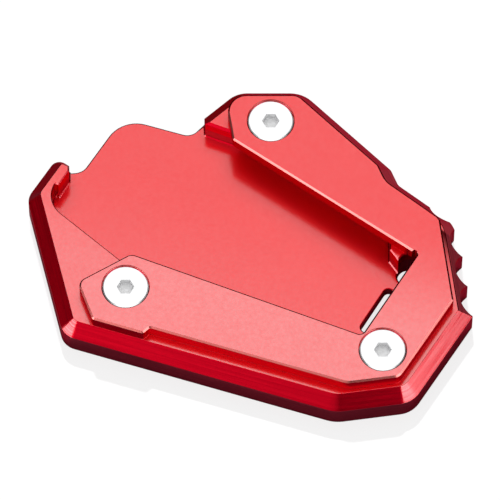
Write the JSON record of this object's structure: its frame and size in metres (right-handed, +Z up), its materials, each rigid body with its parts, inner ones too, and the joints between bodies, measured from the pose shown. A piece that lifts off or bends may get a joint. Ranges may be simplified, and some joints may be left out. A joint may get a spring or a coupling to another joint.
{
  "type": "kickstand foot enlarger",
  "caption": "Machined kickstand foot enlarger: red anodised base plate with an open foot pocket, toothed side, clamp plate and countersunk hex screws.",
  "frame": {"origin": "centre of the base plate's outline, on the face that stands on the ground", "axes": "+X towards the toothed side, +Y towards the open side of the pocket, +Z up out of the ground face"},
  "size_m": [0.116, 0.0936, 0.014],
  "materials": {
    "base_plate": "red anodised, satin, machined bevels",
    "clamp_plate": "red anodised, satin",
    "clamp_screws": "bright stainless steel"
  },
  "bodies": {
    "root": {"base_plate": "base_plate", "clamp_plate": "clamp_plate", "clamp_screws": "clamp_screws"}
  },
  "joints": []
}
